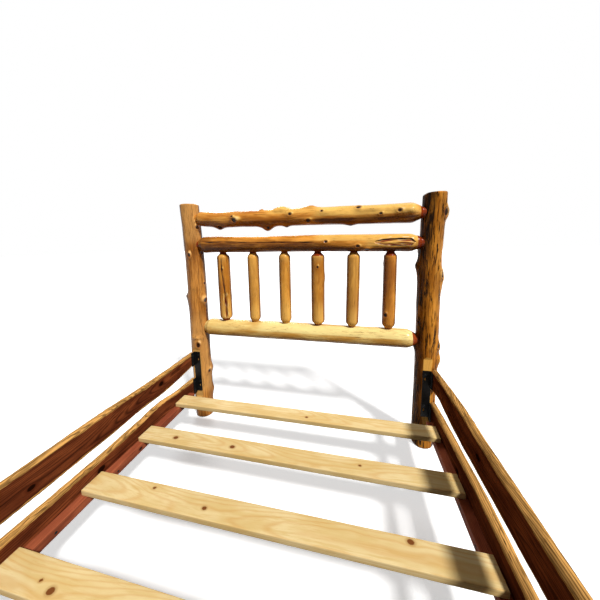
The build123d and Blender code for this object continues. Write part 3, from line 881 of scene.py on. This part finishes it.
def planks():
    edges = {  # top edge and bottom edge, as (share of the length, height in mm), and knots
        "left_upper_plank": (
            ((0, 505), (0.12, 503), (0.24, 508), (0.42, 514), (0.6, 507), (0.8, 502), (1, 508)),
            ((0, 410), (0.05, 397), (0.105, 383), (0.15, 380), (0.22, 386), (0.4, 378), (0.58, 386),
             (0.79, 392), (1, 404)),
            ((0.32, 0.455, 0.013), (0.93, 0.43, 0.01), (1.6, 0.45, 0.016)),
        ),
        "right_upper_plank": (
            ((0, 522), (0.1, 533), (0.2, 540), (0.4, 535), (0.6, 540), (0.8, 531), (1, 518)),
            ((0, 393), (0.035, 407), (0.07, 415), (0.13, 405), (0.22, 397), (0.43, 404), (0.64, 396),
             (0.82, 402), (1, 398)),
            ((0.55, 0.47, 0.012), (1.2, 0.44, 0.015)),
        ),
        "left_lower_plank": (
            ((0, 312), (0.055, 316), (0.11, 328), (0.16, 341), (0.22, 332), (0.4, 322), (0.6, 331),
             (0.8, 328), (1, 316)),
            ((0, 186), (0.25, 180), (0.5, 185), (0.75, 181), (1, 185)),
            ((0.7, 0.27, 0.014), (1.4, 0.24, 0.011)),
        ),
        "right_lower_plank": (
            ((0, 318), (0.15, 331), (0.3, 337), (0.5, 328), (0.7, 337), (0.85, 331), (1, 317)),
            ((0, 182), (0.25, 188), (0.5, 183), (0.75, 179), (1, 183)),
            ((0.4, 0.26, 0.012), (1.0, 0.28, 0.014), (1.7, 0.23, 0.01)),
        ),
    }
    counts = (10, 420, 26)
    places, quads = block_faces(counts)
    for number, (node, (top, bottom, knots)) in enumerate(edges.items()):
        low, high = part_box(node)
        length = high.y - low.y
        field = Field(40 + number)
        thick = rounded(counts[0])
        along = np.concatenate([[0, 0.0006, 0.002], np.linspace(0.006, length - 0.006, counts[1] - 5),
                                [length - 0.002, length - 0.0006, length]])
        rise = 0.35 * rounded(counts[2]) + 0.65 * np.linspace(0, 1, counts[2] + 1)
        a, s, b = thick[places[:, 0]] * 2 - 1, along[places[:, 1]], rise[places[:, 2]]
        z_top, z_bottom = live_edge(top, s / length), live_edge(bottom, s / length)
        waves = 0.0018 + 0.0018 * field.at(s / 0.06, 0, 3.3) + 0.0012 * field.at(s / 0.018, a, 9.1)
        lean = 0.35 * field.at(s / 0.3, 1.0, 5.0)
        tilt = np.abs(np.clip(a + lean * (1 - a * a), -1, 1))
        drop_top = np.maximum(0, waves) + (0.008 + 0.005 * field.at(s / 0.22, 2.0, 7.7)) * tilt**2.2
        drop_bottom = np.maximum(0, waves) + (0.007 + 0.004 * field.at(s / 0.2, 4.0, 2.7)) * tilt**2.2
        z = (z_bottom + drop_bottom) * (1 - b) + (z_top - drop_top) * b
        near_end = np.minimum(s, length - s)
        pinch = 0.0015 * ease(near_end, 0.002, 0)
        dip = 0.0003 + 0.0004 * field.at(s / 0.05, z / 0.02, 11.0) * ease(near_end, 0, 0.1)
        half = (high.x - low.x) / 2 - pinch - np.clip(dip, 0, 0.0008)
        x = (low.x + high.x) / 2 + a * half
        z = z + pinch * (1 - 2 * b)
        points = np.stack([x, high.y - s, z], -1)
        band = np.minimum(z_top - z, z - z_bottom)
        band = band + 0.006 * field.at(s / 0.12, 0, 8.8) + 0.003 * field.at(s / 0.02, 0, 2.2)
        sap = ease(band, 0.021, 0.011)
        sawn = np.where((places[:, 1] == 0) | (places[:, 1] == counts[1]), 0.7, 0.12)
        grain = grain_of(s, a * half, z, number + 5, knots)
        grain[:, 2] -= (z_top + z_bottom) / 2
        attributes = board_attributes(grain, s, z, knots, sawn, sap)
        link_mesh(node + "_board", points, quads[:, ::-1], [], attributes, CEDAR, ROOT, "cedar_plank", node)


def strip(name, node, counts, axes, edge, knots, seed, material, body, slot):
    """A sawn strip in the box of its node, with eased, slightly worn edges. axes are its long, thick and wide
    ones."""
    places, quads = block_faces([c + 6 for c in counts])
    low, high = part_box(node)
    low, high = np.array(low), np.array(high)
    lines = [eased_steps(low[i], high[i], counts[i], edge) for i in range(3)]
    points = np.stack([lines[i][places[:, i]] for i in range(3)], -1)
    points = round_box(points, low, high, edge)
    field = Field(seed + 90)
    middle = (low + high) / 2
    wear = np.abs(field.at(*(points / 0.03).T)) * 0.0003
    outer = np.abs(points - middle) > (high - low) / 2 - edge
    points = points - np.sign(points - middle) * outer * wear[:, None]
    along, thick, wide = (points[:, i] - middle[i] for i in axes)
    end = places[:, axes[0]]
    sawn = np.where((end == 0) | (end == counts[axes[0]] + 6), 0.7, 0.15)
    grain = grain_of(along, thick, wide, seed, knots)
    attributes = board_attributes(grain, along, wide, knots, sawn, np.zeros(len(points)))
    link_mesh(name, points, quads, [], attributes, material, body, slot, node)


def ledgers_and_slats():
    knots = ((0.5, 0.0, 0.008), (-0.4, 0.01, 0.007))
    for node, seed in (("left_ledger", 21), ("right_ledger", 22)):
        strip(node + "_strip", node, (6, 300, 6), (1, 0, 2), 0.002, knots, seed, LEDGER, ROOT, "ledger_strip")
    maker = np.random.default_rng(77)
    for i in range(1, 8):
        node = f"slat_{i}"
        knots = [(maker.uniform(-0.7, 0.7), maker.uniform(-0.03, 0.03), maker.uniform(0.005, 0.011))
                 for _ in range(int(maker.integers(1, 4)))]
        strip(node + "_board", node, (240, 14, 4), (0, 2, 1), 0.0028, knots, 30 + i, PINE, node, "pine_slat")


# -------- steel


def steel(name, tone, rough, scuff, metal):
    """Painted or blackened steel, with worn spots where scuff is over 0."""
    material, s = new_material(name)
    place = s.add("TexCoord").outputs["Object"]
    coarse = s.noise(place, 60, 3)
    grainy = s.noise(place, 900, 3, 0.7)
    worn = s.step(s.noise(place, 130, 5, 0.75), 0.62, 0.72)
    base = s.blend(s.step(coarse, 0.35, 0.7), colour(tone), dark(tone, 0.6))
    base = s.cover(base, worn, scuff, colour("#6d7276"))
    bump = s.add("Bump", {"Strength": 0.25, "Distance": 0.0003, "Height": s.plus(grainy, coarse)})
    uneven = s.plus(s.times(coarse, 0.25), rough - 0.12)
    body = s.add("BsdfPrincipled", {
        "Base Color": base, "Metallic": metal, "Roughness": uneven, "Normal": bump.outputs[0],
        "Specular IOR Level": 0.14,
    })
    s.finish("OutputMaterial", body)
    return material


BLACK_STEEL = steel("black_steel", "#090909", 0.5, 0.25, 0.0)
SCREW_STEEL = steel("screw_steel", "#1c1d1e", 0.4, 0.5, 0.5)


def brackets():
    for node in ("head_left_bracket", "head_right_bracket", "foot_left_bracket", "foot_right_bracket"):
        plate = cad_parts[node]
        plate.data.materials.clear()
        plate.data.materials.append(BLACK_STEEL)
        bevel = plate.modifiers.new("eased_edges", "BEVEL")
        bevel.width = 0.0007
        bevel.segments = 2
        bevel.limit_method = "ANGLE"
        bevel.angle_limit = math.radians(50)


def screw_points(centre, out, sizes):
    """Rings of points of a round-headed screw with a cross recess, and the middles of its two ends. out points
    out of its head."""
    head_radius, head_height, shank_radius, shank_length = sizes
    centre, out = np.array(centre), np.array(out, float)
    side = np.cross(out, (0, 0, 1.0))
    side /= np.linalg.norm(side)
    up = np.cross(side, out)
    angle = np.linspace(0, 2 * math.pi, SCREW_FACETS, endpoint=False)
    cross = []
    for radius in np.linspace(0.02, 1, 15) * head_radius:
        dome = head_height * math.sqrt(max(0.0, 1 - (radius / head_radius) ** 2 * 0.86))
        x, y = radius * np.cos(angle), radius * np.sin(angle)
        arm = np.minimum(np.abs(x), np.abs(y)) / head_radius
        hole = ease(arm, 0.17, 0.1) * ease(radius / head_radius, 0.62, 0.5)
        cross.append((radius, dome - hole * head_height * 0.6))
    skirt = [(head_radius, 0.3 * head_height), (head_radius * 0.99, 0.0), (shank_radius, 0.0)]
    pitch = 0.0022
    for turn in range(int((shank_length - 0.006) / pitch)):
        depth = -0.001 - turn * pitch
        skirt += [(shank_radius * 0.78, depth), (shank_radius, depth - pitch * 0.5)]
    skirt += [(shank_radius * 0.75, -shank_length + 0.005), (0.0002, -shank_length)]
    rings = cross + [(r, np.full(SCREW_FACETS, h)) for r, h in skirt]
    cos, sin = np.cos(angle)[:, None], np.sin(angle)[:, None]
    points = [centre + r * cos * side + r * sin * up + np.asarray(h)[:, None] * out for r, h in rings]
    points.append([centre + (head_height * 0.4) * out, centre - shank_length * out])
    return np.vstack(points)


def screws(name, places, sizes, *nodes):
    """One piece of several screws at (centre, direction out). sizes are the radius and height of the head and
    the radius and length of the shank."""
    made = [screw_points(*place, sizes) for place in places]
    count = len(made[0])
    faces = [tube_faces(count // SCREW_FACETS, SCREW_FACETS, True, i * count) for i in range(len(made))]
    quads, fans = (np.vstack(part) for part in zip(*faces))
    link_mesh(name, np.vstack(made), quads, fans, {}, SCREW_STEEL, ROOT, "screw_steel", *nodes)


def all_screws():
    posts, tabs, ledgers = [], [], []
    for end, hand in itertools.product((1, -1), (-1, 1)):
        for height in (0.289, 0.485):
            posts.append(((hand * STRIP_HOLE_X, end * STRIP_FACE_Y, height), (0, -end, 0)))
        for height in (0.23, 0.292, 0.432, 0.488):
            tabs.append(((hand * TAB_X, end * TAB_Y, height), (-hand, 0, 0)))
    for hand, node in ((-1, "left_ledger"), (1, "right_ledger")):
        low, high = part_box(node)
        inner = low.x if hand > 0 else high.x
        for share in np.linspace(0.04, 0.96, 8):
            place = (inner, low.y + (high.y - low.y) * share, (low.z + high.z) / 2 - 0.003)
            ledgers.append((place, (-hand, 0, 0)))
    screws("post_screw_set", posts, (0.0075, 0.0035, 0.0035, 0.05), "post_screws")
    screws("tab_screw_set", tabs, (0.0062, 0.003, 0.003, 0.03))
    screws("ledger_screw_set", ledgers, (0.005, 0.0012, 0.0026, 0.06))


head_posts()
foot_posts()
head_rails()
foot_rails()
spindles()
planks()
ledgers_and_slats()
brackets()
all_screws()
